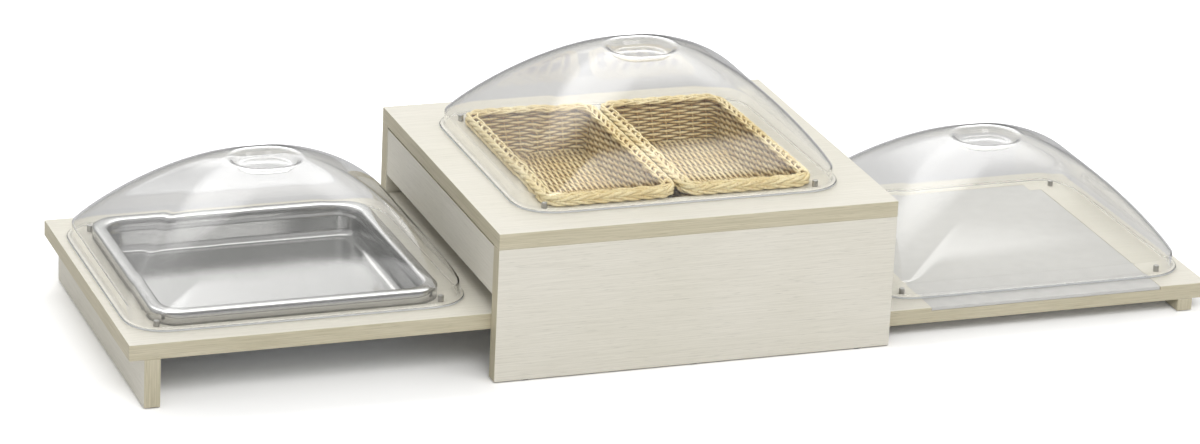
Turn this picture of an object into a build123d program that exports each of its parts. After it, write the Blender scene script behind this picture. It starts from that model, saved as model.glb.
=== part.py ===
from build123d import *
import math
import os

# A refrigerated buffet display in three stations. A riser of pale wood-faced board
# stands in the middle, and a shelf slides in beneath each of its ends, one higher
# than the other. Every station has a well under its board with a cold pack in it,
# something to serve from, and a clear lid that lifts off.
# The origin is on the table under the centre of the riser: +X runs along the row
# of stations to the right, -Y is the guests' side and +Z is up. Sizes are in mm.

# A serving place: the room a two-thirds pan takes, alike in every station
place_width = 354.0
place_depth = 325.0

# Lids
lid_margin_x = 33.0  # how far a lid reaches past its serving place at each end
lid_margin_y = 20.5
lid_width = place_width + 2 * lid_margin_x
lid_depth = place_depth + 2 * lid_margin_y
lid_corner_radius = 47.0
lid_height = 146.0
lid_wall = 3.0
lid_flange = 6.0
lid_skirt_height = 20.0
lid_side_curve = 2.06
lid_crown_curve = 1.08
lid_corner_growth = 0.89
lid_roundest_corner = 0.96  # the largest corner radius, as a share of half the depth
lid_profile_angles = (0.0, 14.0, 28.0, 42.0, 55.0, 67.0, 77.0)
grip_length = 88.0
grip_width = 78.0
grip_depth = 11.0
grip_draft = 33.0

# Boards
board_thickness = 20.0
riser_end_margin = 45.0  # from the centre lid to each end of the riser
riser_width = lid_width + 2 * riser_end_margin
riser_depth = 464.0
riser_height = 190.0
lid_end_gap = 10.5  # from a shelf's lid to the riser and to the shelf's outer end
shelf_reach = lid_width + 2 * lid_end_gap  # how far a shelf stands out of the riser
shelf_tuck = 69.0  # how much of a shelf lies inside the riser
shelf_length = shelf_reach + shelf_tuck
shelf_side_clearance = 1.0
left_shelf_top = 82.0
right_shelf_top = 37.0
leg_inset = 18.0
side_band_bottom = 106.0
side_band_gap = 3.0  # shadow gap between a side band and the top board
side_band_setback = 1.0

# Clearances
running_gap = 0.3  # between pieces that lift or slide apart
seat_gap = 0.1  # around dowels and screws in their holes
cut_overshoot = 1.0  # how far a cutting tool runs past the face that it opens

# Runners, feet and fixings
runner_width = 15.0
runner_height = 12.0
runner_end_inset = 10.0
foot_pad_radius = 8.0
foot_pad_thickness = 3.0
foot_pad_standout = 1.5
foot_pad_end_inset = 40.0
leg_pad_end_inset = 20.0
pads_per_panel = 3
dowel_radius = 4.0
dowel_length = 30.0
dowel_end_inset = 45.0
dowel_floor_gap = 1.0  # least wood between a leg's dowels and its foot pads
top_dowels_per_panel = 4
leg_dowels = 3
band_dowel_shares = (0.25, 0.75)  # of the band's height
screw_radius = 2.0
screw_head_radius = 4.0
screw_head_depth = 2.4
runner_screws = 3
runner_screw_length = 27.0
tub_screw_length = 14.0

# Tubs and cold packs
well_corner_radius = 22.0
tub_wall = 2.4
tub_flange = 14.0
tub_screw_share = 0.25  # of the well's size, each way from its centre
tub_clearance = 1.0  # how far a tub's walls stand back from the edge of the cut-out above it
pack_side_clearance = 4.0
left_pack_thickness = 12.0
centre_pack_thickness = 25.0
right_pack_thickness = 18.0
pack_edge_radius = 3.0
pack_cap_radius = 12.0
pack_cap_depth = 3.0
pack_cap_end_inset = 40.0

# Locating pins at the corners of each serving place
pin_inset_x = 2.5  # from the edges of the serving place to a pin's centre
pin_inset_y = 3.5
pin_radius = 3.5
pin_height = 8.0
pin_seat_depth = 10.0

# Steel tray
tray_corner_radius = 34.0
tray_mouth_radius = 27.0
tray_rim_height = 15.0  # the rim's top above the board
tray_basin_depth = 40.0
tray_rim_width = 15.0
tray_sheet = 1.0
tray_basin_draft = 7.0
tray_well_clearance = 4.0  # round the basin, at the rim
well_width = place_width - 2 * tray_rim_width + 2 * tray_well_clearance
well_depth = place_depth - 2 * tray_rim_width + 2 * tray_well_clearance
tray_floor_radius = 11.0

# Wicker baskets, two side by side
basket_gap = 2.0
basket_end_gap = 1.0  # from the baskets to each end of the serving place
basket_width = (place_width - basket_gap) / 2 - basket_end_gap
basket_corner_radius = 26.0
basket_rim_height = 14.0  # the rim's top above the board
basket_height = 62.0
basket_rim_overhang = 5.0
basket_rim_rounding = 4.0
basket_wall = 6.0
basket_draft = 7.0
basket_well_clearance = 0.5
centre_well_width = 2 * basket_width + basket_gap - 2 * basket_rim_overhang + 2 * basket_well_clearance
centre_well_depth = place_depth - 2 * basket_rim_overhang + 2 * basket_well_clearance

# White slab
slab_end_margin = 21.0  # from the slab to each end of the serving place
slab_back_reach = 7.5  # how far it goes past the back of the serving place
slab_width = place_width - 2 * slab_end_margin
slab_back = place_depth / 2 + slab_back_reach
slab_thickness = 4.0
slab_notch_width = 16.0
slab_notch_depth = 22.0
slab_corner_radius = 1.5
slab_ledge_ends = 11.0  # what carries the slab at its ends
slab_ledge_back = 15.0
slab_well_width = slab_width - 2 * slab_ledge_ends
slab_well_depth = 2 * (slab_back - slab_notch_depth - slab_ledge_back)


def block(x_low, x_high, y_low, y_high, z_low, z_high):
    """A straight block between two corners."""
    centre = Pos((x_low + x_high) / 2, (y_low + y_high) / 2, (z_low + z_high) / 2)
    return centre * Box(x_high - x_low, y_high - y_low, z_high - z_low)


def rounded_block(centre_x, width, depth, radius, bottom, top):
    """An upright block with rounded corners, centred on a station."""
    outline = Pos(centre_x, 0, bottom) * RectangleRounded(width, depth, radius)
    return extrude(outline, top - bottom)


def upright_rod(x, y, bottom, top, radius):
    """A round rod along Z."""
    return Pos(x, y, (bottom + top) / 2) * Cylinder(radius, top - bottom)


def rod_along_y(x, z, y_low, y_high, radius):
    """A round rod along Y."""
    return Pos(x, (y_low + y_high) / 2, z) * Rot(90, 0, 0) * Cylinder(radius, y_high - y_low)


def spread(low, high, count):
    """Evenly spaced places from low to high, both ends included."""
    step = (high - low) / (count - 1)
    return [low + index * step for index in range(count)]


def save(node, *solids):
    """Write one sub-part, named as a person would name it."""
    shape = solids[0] if len(solids) == 1 else Compound(children=list(solids))
    export_step(shape, f"parts/{node}.step")


# Places that several pieces share
riser_half = riser_width / 2
panel_outer = riser_depth / 2
panel_inner = panel_outer - board_thickness
shelf_half_depth = panel_inner - shelf_side_clearance
top_board_bottom = riser_height - board_thickness
station_offset = riser_half + shelf_reach / 2


# Feet
def foot_pads(places):
    """Round rubber pads, half sunk in the edge above them."""
    return [upright_rod(x, y, 0, foot_pad_thickness, foot_pad_radius) for x, y in places]


def foot_pockets(places):
    """The shallow pockets that hold the pads."""
    return [upright_rod(x, y, 0, foot_pad_thickness, foot_pad_radius + seat_gap) for x, y in places]


# Screws
def screw_up(x, y, head_bottom):
    """A countersunk screw driven upwards, its head flush with head_bottom."""
    tip = head_bottom + tub_screw_length
    shank = upright_rod(x, y, head_bottom + screw_head_depth / 2, tip, screw_radius)
    head = Pos(x, y, head_bottom + screw_head_depth / 2) * Cone(
        screw_head_radius, screw_radius, screw_head_depth)
    return shank + head


def screw_up_hole(x, y, head_bottom):
    """The hole and countersink of a screw driven upwards."""
    top = head_bottom + tub_screw_length + seat_gap
    shank = upright_rod(x, y, head_bottom - cut_overshoot, top, screw_radius + seat_gap)
    head = Pos(x, y, head_bottom + screw_head_depth / 2) * Cone(
        screw_head_radius + seat_gap, screw_radius + seat_gap, screw_head_depth)
    return shank + head


def runner_screw(x, z, side, radius_gain=0.0):
    """A countersunk screw through a runner into the panel on one side (-1 front, 1 back)."""
    head_face = panel_inner - runner_width
    tip = head_face + runner_screw_length + radius_gain
    shank = rod_along_y(x, z, head_face, tip, screw_radius + radius_gain)
    head = Pos(x, head_face + screw_head_depth / 2, z) * Rot(-90, 0, 0) * Cone(
        screw_head_radius + radius_gain, screw_radius + radius_gain, screw_head_depth)
    screw = shank + head
    return screw if side > 0 else mirror(screw, about=Plane.XZ)


# Riser
pad_reach = riser_half - foot_pad_end_inset
panel_foot_places = {
    side: [(x, side * (panel_outer - board_thickness / 2))
           for x in spread(-pad_reach, pad_reach, pads_per_panel)]
    for side in (-1, 1)
}
top_dowel_places = [
    (x, side * (panel_outer - board_thickness / 2))
    for side in (-1, 1)
    for x in spread(-riser_half + dowel_end_inset, riser_half - dowel_end_inset, top_dowels_per_panel)
]
top_dowel_top = riser_height - board_thickness / 2
top_dowel_bottom = top_dowel_top - dowel_length
band_top = top_board_bottom - side_band_gap
band_height = band_top - side_band_bottom
band_dowel_levels = [side_band_bottom + share * band_height for share in band_dowel_shares]
band_dowel_tip = panel_inner + board_thickness / 2
runner_levels = {"left": left_shelf_top - board_thickness - running_gap,
                 "right": right_shelf_top - board_thickness - running_gap}
runner_screw_places = spread(-riser_half + dowel_end_inset, riser_half - dowel_end_inset, runner_screws)


def dowel_in_top(place, gain=0.0):
    return upright_rod(*place, top_dowel_bottom - gain, top_dowel_top + gain, dowel_radius + gain)


def band_dowel(end, side, level, gain=0.0):
    """A dowel along Y that joins a side band to the front or back panel."""
    x = end * (riser_half - side_band_setback - board_thickness / 2)
    low, high = band_dowel_tip - dowel_length - gain, band_dowel_tip + gain
    return rod_along_y(x, level, min(side * low, side * high), max(side * low, side * high),
                       dowel_radius + gain)


band_dowel_places = [(end, side, level)
                     for end in (-1, 1) for side in (-1, 1) for level in band_dowel_levels]


def riser_panel(side):
    """The front (-1) or back (1) panel, drilled for its dowels, screws and feet."""
    low, high = sorted((side * panel_inner, side * panel_outer))
    panel = block(-riser_half, riser_half, low, high, foot_pad_standout, top_board_bottom)
    for place in top_dowel_places:
        panel -= dowel_in_top(place, seat_gap)
    for place in band_dowel_places:
        panel -= band_dowel(*place, seat_gap)
    for level in runner_levels.values():
        for x in runner_screw_places:
            panel -= runner_screw(x, level - runner_height / 2, side, seat_gap)
    for pocket in foot_pockets(panel_foot_places[side]):
        panel -= pocket
    return panel


def side_band(end):
    """The upper band at the left (-1) or right (1) end, above the shelf."""
    outer = riser_half - side_band_setback
    low, high = sorted((end * (outer - board_thickness), end * outer))
    band = block(low, high, -panel_inner, panel_inner, side_band_bottom, band_top)
    for place in band_dowel_places:
        band -= band_dowel(*place, seat_gap)
    return band


def runner(name, side):
    """A ledge along the inside of a panel that carries the inner end of a shelf."""
    low, high = sorted((side * (panel_inner - runner_width), side * panel_inner))
    length_half = riser_half - runner_end_inset
    top = runner_levels[name]
    ledge = block(-length_half, length_half, low, high, top - runner_height, top)
    for x in runner_screw_places:
        ledge -= runner_screw(x, top - runner_height / 2, side, seat_gap)
    return ledge


# Wells
def tub_screw_places(centre_x, width, depth):
    """Eight places round a tub's flange."""
    x_half = width / 2 + tub_flange / 2
    y_half = depth / 2 + tub_flange / 2
    places = []
    for side in (-1, 1):
        places += [(centre_x + end * width * tub_screw_share, side * y_half) for end in (-1, 1)]
        places += [(centre_x + side * x_half, end * depth * tub_screw_share) for end in (-1, 1)]
    return places


def well_tub(centre_x, width, depth, board_bottom, floor_top):
    """A thin tub screwed up under a board, open at the top, with a flat flange."""
    outer_width = width - 2 * tub_clearance
    outer_depth = depth - 2 * tub_clearance
    flange_bottom = board_bottom - tub_wall
    bottom = floor_top - tub_wall
    radius = well_corner_radius - tub_clearance
    tub = rounded_block(centre_x, width + 2 * tub_flange, depth + 2 * tub_flange,
                        well_corner_radius, flange_bottom, board_bottom)
    tub += rounded_block(centre_x, outer_width, outer_depth, radius, bottom, board_bottom)
    tub -= rounded_block(centre_x, outer_width - 2 * tub_wall, outer_depth - 2 * tub_wall,
                         radius - tub_wall, floor_top, board_bottom + cut_overshoot)
    for place in tub_screw_places(centre_x, width, depth):
        tub -= screw_up_hole(*place, flange_bottom)
    return tub


def cold_pack(centre_x, width, depth, bottom, thickness):
    """A sealed flat bottle of cooling gel, with a pocket for its filler cap."""
    inside = 2 * (tub_clearance + tub_wall + pack_side_clearance)
    body = rounded_block(centre_x, width - inside, depth - inside,
                         well_corner_radius - pack_side_clearance, bottom, bottom + thickness)
    body = fillet(body.edges().group_by(Axis.Z)[0] + body.edges().group_by(Axis.Z)[-1], pack_edge_radius)
    top = bottom + thickness
    return body - upright_rod(*pack_cap_place(centre_x, width), top - pack_cap_depth, top + cut_overshoot,
                              pack_cap_radius + seat_gap)


def pack_cap_place(centre_x, width):
    return centre_x + width / 2 - pack_cap_end_inset, 0


def pack_cap(centre_x, width, pack_top):
    """The filler cap, just below the pack's top face."""
    place = pack_cap_place(centre_x, width)
    return upright_rod(*place, pack_top - pack_cap_depth, pack_top - running_gap, pack_cap_radius)


# Locating pins
def pin_places(centre_x):
    x_half = place_width / 2 - pin_inset_x
    y_half = place_depth / 2 - pin_inset_y
    return [(centre_x + end * x_half, side * y_half) for end in (-1, 1) for side in (-1, 1)]


def locating_pins(centre_x, board_top):
    return [upright_rod(*place, board_top - pin_seat_depth, board_top + pin_height, pin_radius)
            for place in pin_places(centre_x)]


def drilled_for_station(board, centre_x, board_top, width, depth):
    """Cut a station's well and drill its pin and screw holes in the board that carries it."""
    bottom = board_top - board_thickness
    board -= rounded_block(centre_x, width, depth, well_corner_radius,
                           bottom - cut_overshoot, board_top + cut_overshoot)
    for place in pin_places(centre_x):
        board -= upright_rod(*place, board_top - pin_seat_depth, board_top + cut_overshoot,
                             pin_radius + seat_gap)
    for place in tub_screw_places(centre_x, width, depth):
        board -= screw_up_hole(*place, bottom - tub_wall)
    return board


# Shelves
def shelf_ends(side):
    """The inner and outer ends of the left (-1) or right (1) shelf."""
    outer = side * (riser_half + shelf_reach)
    return outer - side * shelf_length, outer


def leg_faces(side):
    outer = side * (riser_half + shelf_reach - leg_inset)
    return sorted((outer, outer - side * board_thickness))


def leg_dowel(side, y, board_top, gain=0.0):
    """A dowel between a shelf and its leg, shorter where the leg is short."""
    x = sum(leg_faces(side)) / 2
    top = board_top - board_thickness / 2
    length = min(dowel_length, top - foot_pad_thickness - seat_gap - dowel_floor_gap)
    return upright_rod(x, y, top - length - gain, top + gain, dowel_radius + gain)


leg_dowel_reach = shelf_half_depth - dowel_end_inset
leg_dowel_places = spread(-leg_dowel_reach, leg_dowel_reach, leg_dowels)


def shelf_board(side, board_top):
    """A shelf board, with dowel holes over its leg."""
    low, high = sorted(shelf_ends(side))
    board = block(low, high, -shelf_half_depth, shelf_half_depth, board_top - board_thickness, board_top)
    for y in leg_dowel_places:
        board -= leg_dowel(side, y, board_top, seat_gap)
    return board


def leg_foot_places(side):
    x = sum(leg_faces(side)) / 2
    reach = shelf_half_depth - leg_pad_end_inset
    return [(x, -reach), (x, reach)]


def shelf_leg(side, board_top):
    """The upright under a shelf's outer end."""
    low, high = leg_faces(side)
    leg = block(low, high, -shelf_half_depth, shelf_half_depth,
                foot_pad_standout, board_top - board_thickness)
    for y in leg_dowel_places:
        leg -= leg_dowel(side, y, board_top, seat_gap)
    for pocket in foot_pockets(leg_foot_places(side)):
        leg -= pocket
    return leg


# Steel tray
def steel_tray(centre_x, board_top):
    """A pressed pan: turned-down outer skirt, flat rim and a drafted basin."""
    rim_top = board_top + tray_rim_height
    skirt_bottom = board_top + running_gap
    basin_bottom = rim_top - tray_basin_depth
    mouth_width = place_width - 2 * tray_rim_width
    mouth_depth = place_depth - 2 * tray_rim_width
    skirt = rounded_block(centre_x, place_width, place_depth, tray_corner_radius, skirt_bottom, rim_top)
    skirt -= rounded_block(centre_x, place_width - 2 * tray_sheet, place_depth - 2 * tray_sheet,
                           tray_corner_radius - tray_sheet,
                           skirt_bottom - cut_overshoot, rim_top - tray_sheet)
    outline = Pos(centre_x, 0, rim_top) * RectangleRounded(mouth_width, mouth_depth, tray_mouth_radius)
    outer = extrude(outline, -tray_basin_depth, taper=tray_basin_draft)
    outer = fillet(outer.edges().group_by(Axis.Z)[0], tray_floor_radius + tray_sheet)
    mouth = RectangleRounded(mouth_width - 2 * tray_sheet, mouth_depth - 2 * tray_sheet,
                             tray_mouth_radius - tray_sheet)
    inner = extrude(Pos(centre_x, 0, rim_top) * mouth, tray_sheet - tray_basin_depth,
                    taper=tray_basin_draft)
    inner = fillet(inner.edges().group_by(Axis.Z)[0], tray_floor_radius)
    return skirt + outer - inner


# Baskets
def basket(centre_x, board_top):
    """A basket whose braided rim rests on the board and whose sides draw in towards the floor."""
    rim_top = board_top + basket_rim_height
    width = basket_width - 2 * basket_rim_overhang
    depth = place_depth - 2 * basket_rim_overhang
    radius = basket_corner_radius - basket_rim_overhang
    rim = rounded_block(centre_x, basket_width, place_depth, basket_corner_radius,
                        board_top + running_gap, rim_top)
    rim = fillet(rim.edges().group_by(Axis.Z)[0] + rim.edges().group_by(Axis.Z)[-1], basket_rim_rounding)
    outer = extrude(Pos(centre_x, 0, rim_top) * RectangleRounded(width, depth, radius),
                    -basket_height, taper=basket_draft)
    mouth = RectangleRounded(width - 2 * basket_wall, depth - 2 * basket_wall, radius - basket_wall)
    inner = extrude(Pos(centre_x, 0, rim_top) * mouth, basket_wall - basket_height, taper=basket_draft)
    return rim + outer - inner


# White slab
def slab_outline(centre_x, gain, front_overshoot):
    """The slab's plan, open at the front edge of the shelf, with notched back corners."""
    half = slab_width / 2 + gain
    front = -shelf_half_depth - front_overshoot
    back = slab_back + gain
    shoulder_y = back - slab_notch_depth
    shoulder_x = half - slab_notch_width
    points = [(-half, front), (half, front), (half, shoulder_y), (shoulder_x, shoulder_y),
              (shoulder_x, back), (-shoulder_x, back), (-shoulder_x, shoulder_y), (-half, shoulder_y)]
    outline = make_face(Polyline(*points, close=True))
    return Pos(centre_x, 0) * fillet(outline.vertices(), slab_corner_radius)


def white_slab(centre_x, board_top):
    outline = slab_outline(centre_x, 0, 0)
    return extrude(Pos(0, 0, board_top - slab_thickness) * outline, slab_thickness)


def slab_recess(centre_x, board_top):
    depth = slab_thickness + running_gap
    outline = slab_outline(centre_x, running_gap, cut_overshoot + slab_corner_radius)
    return extrude(Pos(0, 0, board_top - depth) * outline, depth + cut_overshoot)


# Lids
def lid_section(angle, inset):
    """Width, depth, corner radius and height of the bulge at one angle of its profile."""
    turn = math.radians(angle)
    drawn_in = 1 - math.cos(turn) ** (2 / lid_side_curve)
    half_width = (lid_width / 2 - lid_flange) * (1 - drawn_in) - inset
    half_depth = (lid_depth / 2 - lid_flange) * (1 - drawn_in) - inset
    base_radius = lid_corner_radius - lid_flange
    radius = base_radius * (1 - drawn_in) + lid_corner_growth * drawn_in * half_depth - inset / 2
    radius = min(radius, lid_roundest_corner * half_depth)
    rise = (lid_height - lid_skirt_height) * math.sin(turn) ** (2 / lid_crown_curve)
    return 2 * half_width, 2 * half_depth, radius, lid_skirt_height + rise - inset


def lid_bulge(centre_x, base, inset):
    """The domed part above the skirt, as a smooth loft through its sections."""
    sections = []
    for angle in lid_profile_angles:
        width, depth, radius, height = lid_section(angle, inset)
        sections.append(Pos(centre_x, 0, base + height) * RectangleRounded(width, depth, radius))
    return loft(sections)


def grip_well(centre_x, top, gain, overshoot=0.0):
    """The sunk oval for the fingers, or with a gain the outside of its wall."""
    drawn_in = grip_depth * math.tan(math.radians(grip_draft))
    rim = Ellipse(grip_length / 2 + gain, grip_width / 2 + gain)
    floor = Ellipse(grip_length / 2 + gain - drawn_in, grip_width / 2 + gain - drawn_in)
    return loft([Pos(centre_x, 0, top - grip_depth - gain) * floor,
                 Pos(centre_x, 0, top + overshoot) * rim], ruled=True)


def lid(centre_x, board_top):
    """A clear moulded lid: flat flange, upright skirt, domed top and a sunk oval grip."""
    base = board_top + running_gap
    skirt_width = lid_width - 2 * lid_flange
    skirt_depth = lid_depth - 2 * lid_flange
    skirt_radius = lid_corner_radius - lid_flange
    crown = base + lid_section(lid_profile_angles[-1], 0)[3]
    shell = rounded_block(centre_x, lid_width, lid_depth, lid_corner_radius, base, base + lid_wall)
    shell += rounded_block(centre_x, skirt_width, skirt_depth, skirt_radius, base, base + lid_skirt_height)
    shell += lid_bulge(centre_x, base, 0)
    shell -= rounded_block(centre_x, skirt_width - 2 * lid_wall, skirt_depth - 2 * lid_wall,
                           skirt_radius - lid_wall,
                           base - cut_overshoot, base + lid_skirt_height - lid_wall)
    shell -= lid_bulge(centre_x, base, lid_wall)
    shell += grip_well(centre_x, crown, lid_wall)
    return shell - grip_well(centre_x, crown, 0, cut_overshoot)


os.makedirs("parts", exist_ok=True)

# Riser nodes
top_board = block(-riser_half, riser_half, -panel_outer, panel_outer, top_board_bottom, riser_height)
for place in top_dowel_places:
    top_board -= dowel_in_top(place, seat_gap)
top_board = drilled_for_station(top_board, 0, riser_height, centre_well_width, centre_well_depth)
save("riser_top_board", top_board)
save("riser_front_panel", riser_panel(-1))
save("riser_back_panel", riser_panel(1))
save("riser_left_band", side_band(-1))
save("riser_right_band", side_band(1))
save("riser_top_dowels", *[dowel_in_top(place) for place in top_dowel_places])
save("riser_band_dowels", *[band_dowel(*place) for place in band_dowel_places])
save("riser_foot_pads", *foot_pads(panel_foot_places[-1] + panel_foot_places[1]))
for name, level in runner_levels.items():
    for side, side_name in ((-1, "front"), (1, "back")):
        save(f"{name}_shelf_{side_name}_runner", runner(name, side))
    save(f"{name}_runner_screws", *[runner_screw(x, level - runner_height / 2, side)
                                    for side in (-1, 1) for x in runner_screw_places])

# What each station holds, from its floor up
centre_pack_top = riser_height + basket_rim_height - basket_height - running_gap
left_pack_top = left_shelf_top + tray_rim_height - tray_basin_depth - running_gap
right_pack_top = right_shelf_top - slab_thickness - 2 * running_gap
stations = {
    "centre": (0, riser_height, centre_well_width, centre_well_depth, centre_pack_top,
               centre_pack_thickness),
    "left": (-station_offset, left_shelf_top, well_width, well_depth, left_pack_top,
             left_pack_thickness),
    "right": (station_offset, right_shelf_top, slab_well_width, slab_well_depth, right_pack_top,
              right_pack_thickness),
}
for name, (centre_x, board_top, width, depth, pack_top, thickness) in stations.items():
    bottom = pack_top - thickness
    flange_bottom = board_top - board_thickness - tub_wall
    save(f"{name}_well_tub", well_tub(centre_x, width, depth, board_top - board_thickness,
                                      bottom - running_gap))
    save(f"{name}_tub_screws", *[screw_up(*place, flange_bottom)
                                 for place in tub_screw_places(centre_x, width, depth)])
    save(f"{name}_cold_pack", cold_pack(centre_x, width, depth, bottom, thickness))
    save(f"{name}_pack_cap", pack_cap(centre_x, width, pack_top))
    save(f"{name}_locating_pins", *locating_pins(centre_x, board_top))
    save(f"{name}_lid", lid(centre_x, board_top))

# Shelf nodes
for name, side, board_top in (("left", -1, left_shelf_top), ("right", 1, right_shelf_top)):
    centre_x, _, width, depth, _, _ = stations[name]
    board = drilled_for_station(shelf_board(side, board_top), centre_x, board_top, width, depth)
    if name == "right":
        board -= slab_recess(centre_x, board_top)
    save(f"{name}_shelf_board", board)
    save(f"{name}_shelf_leg", shelf_leg(side, board_top))
    save(f"{name}_leg_dowels", *[leg_dowel(side, y, board_top) for y in leg_dowel_places])
    save(f"{name}_foot_pads", *foot_pads(leg_foot_places(side)))

# What is served from
save("steel_tray", steel_tray(-station_offset, left_shelf_top))
basket_offset = (basket_width + basket_gap) / 2
save("left_basket", basket(-basket_offset, riser_height))
save("right_basket", basket(basket_offset, riser_height))
save("white_slab", white_slab(station_offset, right_shelf_top))
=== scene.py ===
import bmesh
import bpy
import math
from mathutils import Matrix, Vector


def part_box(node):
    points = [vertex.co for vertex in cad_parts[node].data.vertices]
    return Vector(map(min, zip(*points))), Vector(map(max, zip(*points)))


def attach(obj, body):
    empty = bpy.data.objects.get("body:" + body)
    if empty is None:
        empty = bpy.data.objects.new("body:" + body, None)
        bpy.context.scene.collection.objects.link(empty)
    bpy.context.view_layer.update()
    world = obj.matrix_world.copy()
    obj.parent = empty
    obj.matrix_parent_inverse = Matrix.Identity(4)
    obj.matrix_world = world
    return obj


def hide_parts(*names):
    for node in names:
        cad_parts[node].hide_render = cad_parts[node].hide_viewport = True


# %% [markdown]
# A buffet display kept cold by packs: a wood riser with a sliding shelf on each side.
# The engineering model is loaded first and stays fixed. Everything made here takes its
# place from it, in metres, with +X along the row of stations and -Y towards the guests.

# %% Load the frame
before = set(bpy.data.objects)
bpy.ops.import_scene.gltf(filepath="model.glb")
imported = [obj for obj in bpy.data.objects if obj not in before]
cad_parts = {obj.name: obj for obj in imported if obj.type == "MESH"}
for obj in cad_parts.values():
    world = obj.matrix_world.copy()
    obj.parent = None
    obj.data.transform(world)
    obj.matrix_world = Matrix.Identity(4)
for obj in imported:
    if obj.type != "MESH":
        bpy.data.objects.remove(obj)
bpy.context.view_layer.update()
stations = {"left": "left_shelf", "centre": "riser", "right": "right_shelf"}

# %% [markdown]
# The camera stands to the left of the display and looks slightly down on it, from some
# way off with a long lens, so that parallel edges stay nearly parallel. Its place was
# found from the edges of the boards. The frame is tilted a little, as a hand-held one is.
# Blender could aim a camera with a constraint, but three axes worked out from the angles
# say exactly where it looks, and nothing moves it later.

# %% Camera
camera_place = Vector((-1.9723, -5.1209, 2.1579))
camera_azimuth = math.radians(-20.647)
camera_elevation = math.radians(20.588)
camera_roll = math.radians(2.758)
camera_lens = 141.4  # mm, on a sensor 36 mm wide

towards_camera = Vector((
    math.sin(camera_azimuth) * math.cos(camera_elevation),
    -math.cos(camera_azimuth) * math.cos(camera_elevation),
    math.sin(camera_elevation),
))
level_right = Vector((0, 0, 1)).cross(towards_camera).normalized()
level_up = towards_camera.cross(level_right)
camera_right = math.cos(camera_roll) * level_right + math.sin(camera_roll) * level_up
camera_up = -math.sin(camera_roll) * level_right + math.cos(camera_roll) * level_up
camera_data = bpy.data.cameras.new("camera")
camera_data.lens = camera_lens
camera_data.sensor_width = 36
camera_data.sensor_fit = "HORIZONTAL"
camera_data.clip_end = 60
camera = bpy.data.objects.new("camera", camera_data)
turn = Matrix((camera_right, camera_up, towards_camera)).transposed().to_4x4()
camera.matrix_world = Matrix.Translation(camera_place) @ turn
bpy.context.scene.collection.objects.link(camera)
bpy.context.scene.camera = camera
bpy.context.scene.view_settings.view_transform = "Standard"
print("camera at", [round(value, 3) for value in camera_place])

# %% [markdown]
# Every finish is a tree of shader nodes. A small helper adds a node and fills in its
# sockets by name, so that each finish below reads as a short list of steps. Colours are
# written as they look on a screen, from 0 to 255, and turned into linear light.


# %% Colours and shader nodes
def tone(red, green, blue):
    """A screen colour in linear light, with an opacity of 1."""
    linear = []
    for value in (red, green, blue):
        level = value / 255
        linear.append(level / 12.92 if level < 0.04045 else ((level + 0.055) / 1.055) ** 2.4)
    return linear + [1]


def feed(tree, socket, value):
    """Link a socket to another node's output, or write a plain value on it."""
    if isinstance(value, bpy.types.NodeSocket):
        tree.links.new(value, socket)
    else:
        socket.default_value = value


def add(tree, kind, settings=None, **inputs):
    """A new node. An input goes by its title, or by its number as _0, _1 and so on."""
    made = tree.nodes.new("ShaderNode" + kind)
    for name, value in (settings or {}).items():
        setattr(made, name, value)
    for name, value in inputs.items():
        key = int(name[1:]) if name[0] == "_" else name.replace("_", " ")
        feed(tree, made.inputs[key], value)
    return made


def blank_finish(name):
    """An empty material, its tree and its output node."""
    finish = bpy.data.materials.new(name)
    finish.use_nodes = True
    finish.node_tree.nodes.clear()
    return finish, finish.node_tree, finish.node_tree.nodes.new("ShaderNodeOutputMaterial")


print("half grey in linear light:", round(tone(128, 128, 128)[0], 3))

# %% [markdown]
# Real surfaces are never one flat colour. A few more helpers make their variation: noise
# that can be stretched along a direction, ramps that pick out part of it, sums, and a
# blend of two colours by the result.


# %% Noise, ramps and blends
def stretched_noise(tree, scale, detail=3.0, roughness=0.5):
    """Noise in the piece's own coordinates, stretched by a different scale on each axis."""
    place = add(tree, "TexCoord").outputs["Object"]
    mapped = add(tree, "Mapping", Vector=place, Scale=scale).outputs["Vector"]
    noise = add(tree, "TexNoise", Vector=mapped, Scale=1.0, Detail=detail, Roughness=roughness)
    return noise.outputs["Fac"]


def ramp(tree, value, low, high):
    """Rescale a value so that low becomes 0 and high becomes 1, clamped."""
    return add(tree, "MapRange", Value=value, From_Min=low, From_Max=high).outputs["Result"]


def eased_ramp(tree, value, low, high, at_low, at_high):
    """A ramp between two levels that starts and ends gently."""
    eased = add(tree, "MapRange", {"interpolation_type": "SMOOTHSTEP"}, Value=value,
                From_Min=low, From_Max=high, To_Min=at_low, To_Max=at_high)
    return eased.outputs["Result"]


def arithmetic(tree, operation, *values):
    sockets = {f"_{index}": value for index, value in enumerate(values)}
    return add(tree, "Math", {"operation": operation}, **sockets).outputs[0]


def blend_colours(tree, share, first, second, mode="MIX"):
    settings = {"data_type": "RGBA", "blend_type": mode}
    return add(tree, "Mix", settings, _0=share, _6=first, _7=second).outputs[2]


print("helpers for finishes are ready")

# %% [markdown]
# The pictures of such displays are taken on a white sweep under large soft boxes. The
# floor here is a plain matt white, made a little brighter for the camera alone, so that
# it reads as pure white while the soft shadows under the boards stay. What the lids mirror
# or show behind them is a greyer part of the sweep, so for those rays the floor is grey.

# %% Floor
floor_white = tone(238, 238, 239)
floor_seen = (1.14, 1.14, 1.14, 1)
floor_grey = tone(202, 202, 203)
floor_lift = (0.01, 0.30)  # the light that it adds for the camera, near and far
lift_range = (0.8, 1.3)  # where the near part ends and the far part begins
shadow_reach = (0.85, 0.50)  # how far from the middle the near part runs along X and Y
floor_size = 6.0

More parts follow.
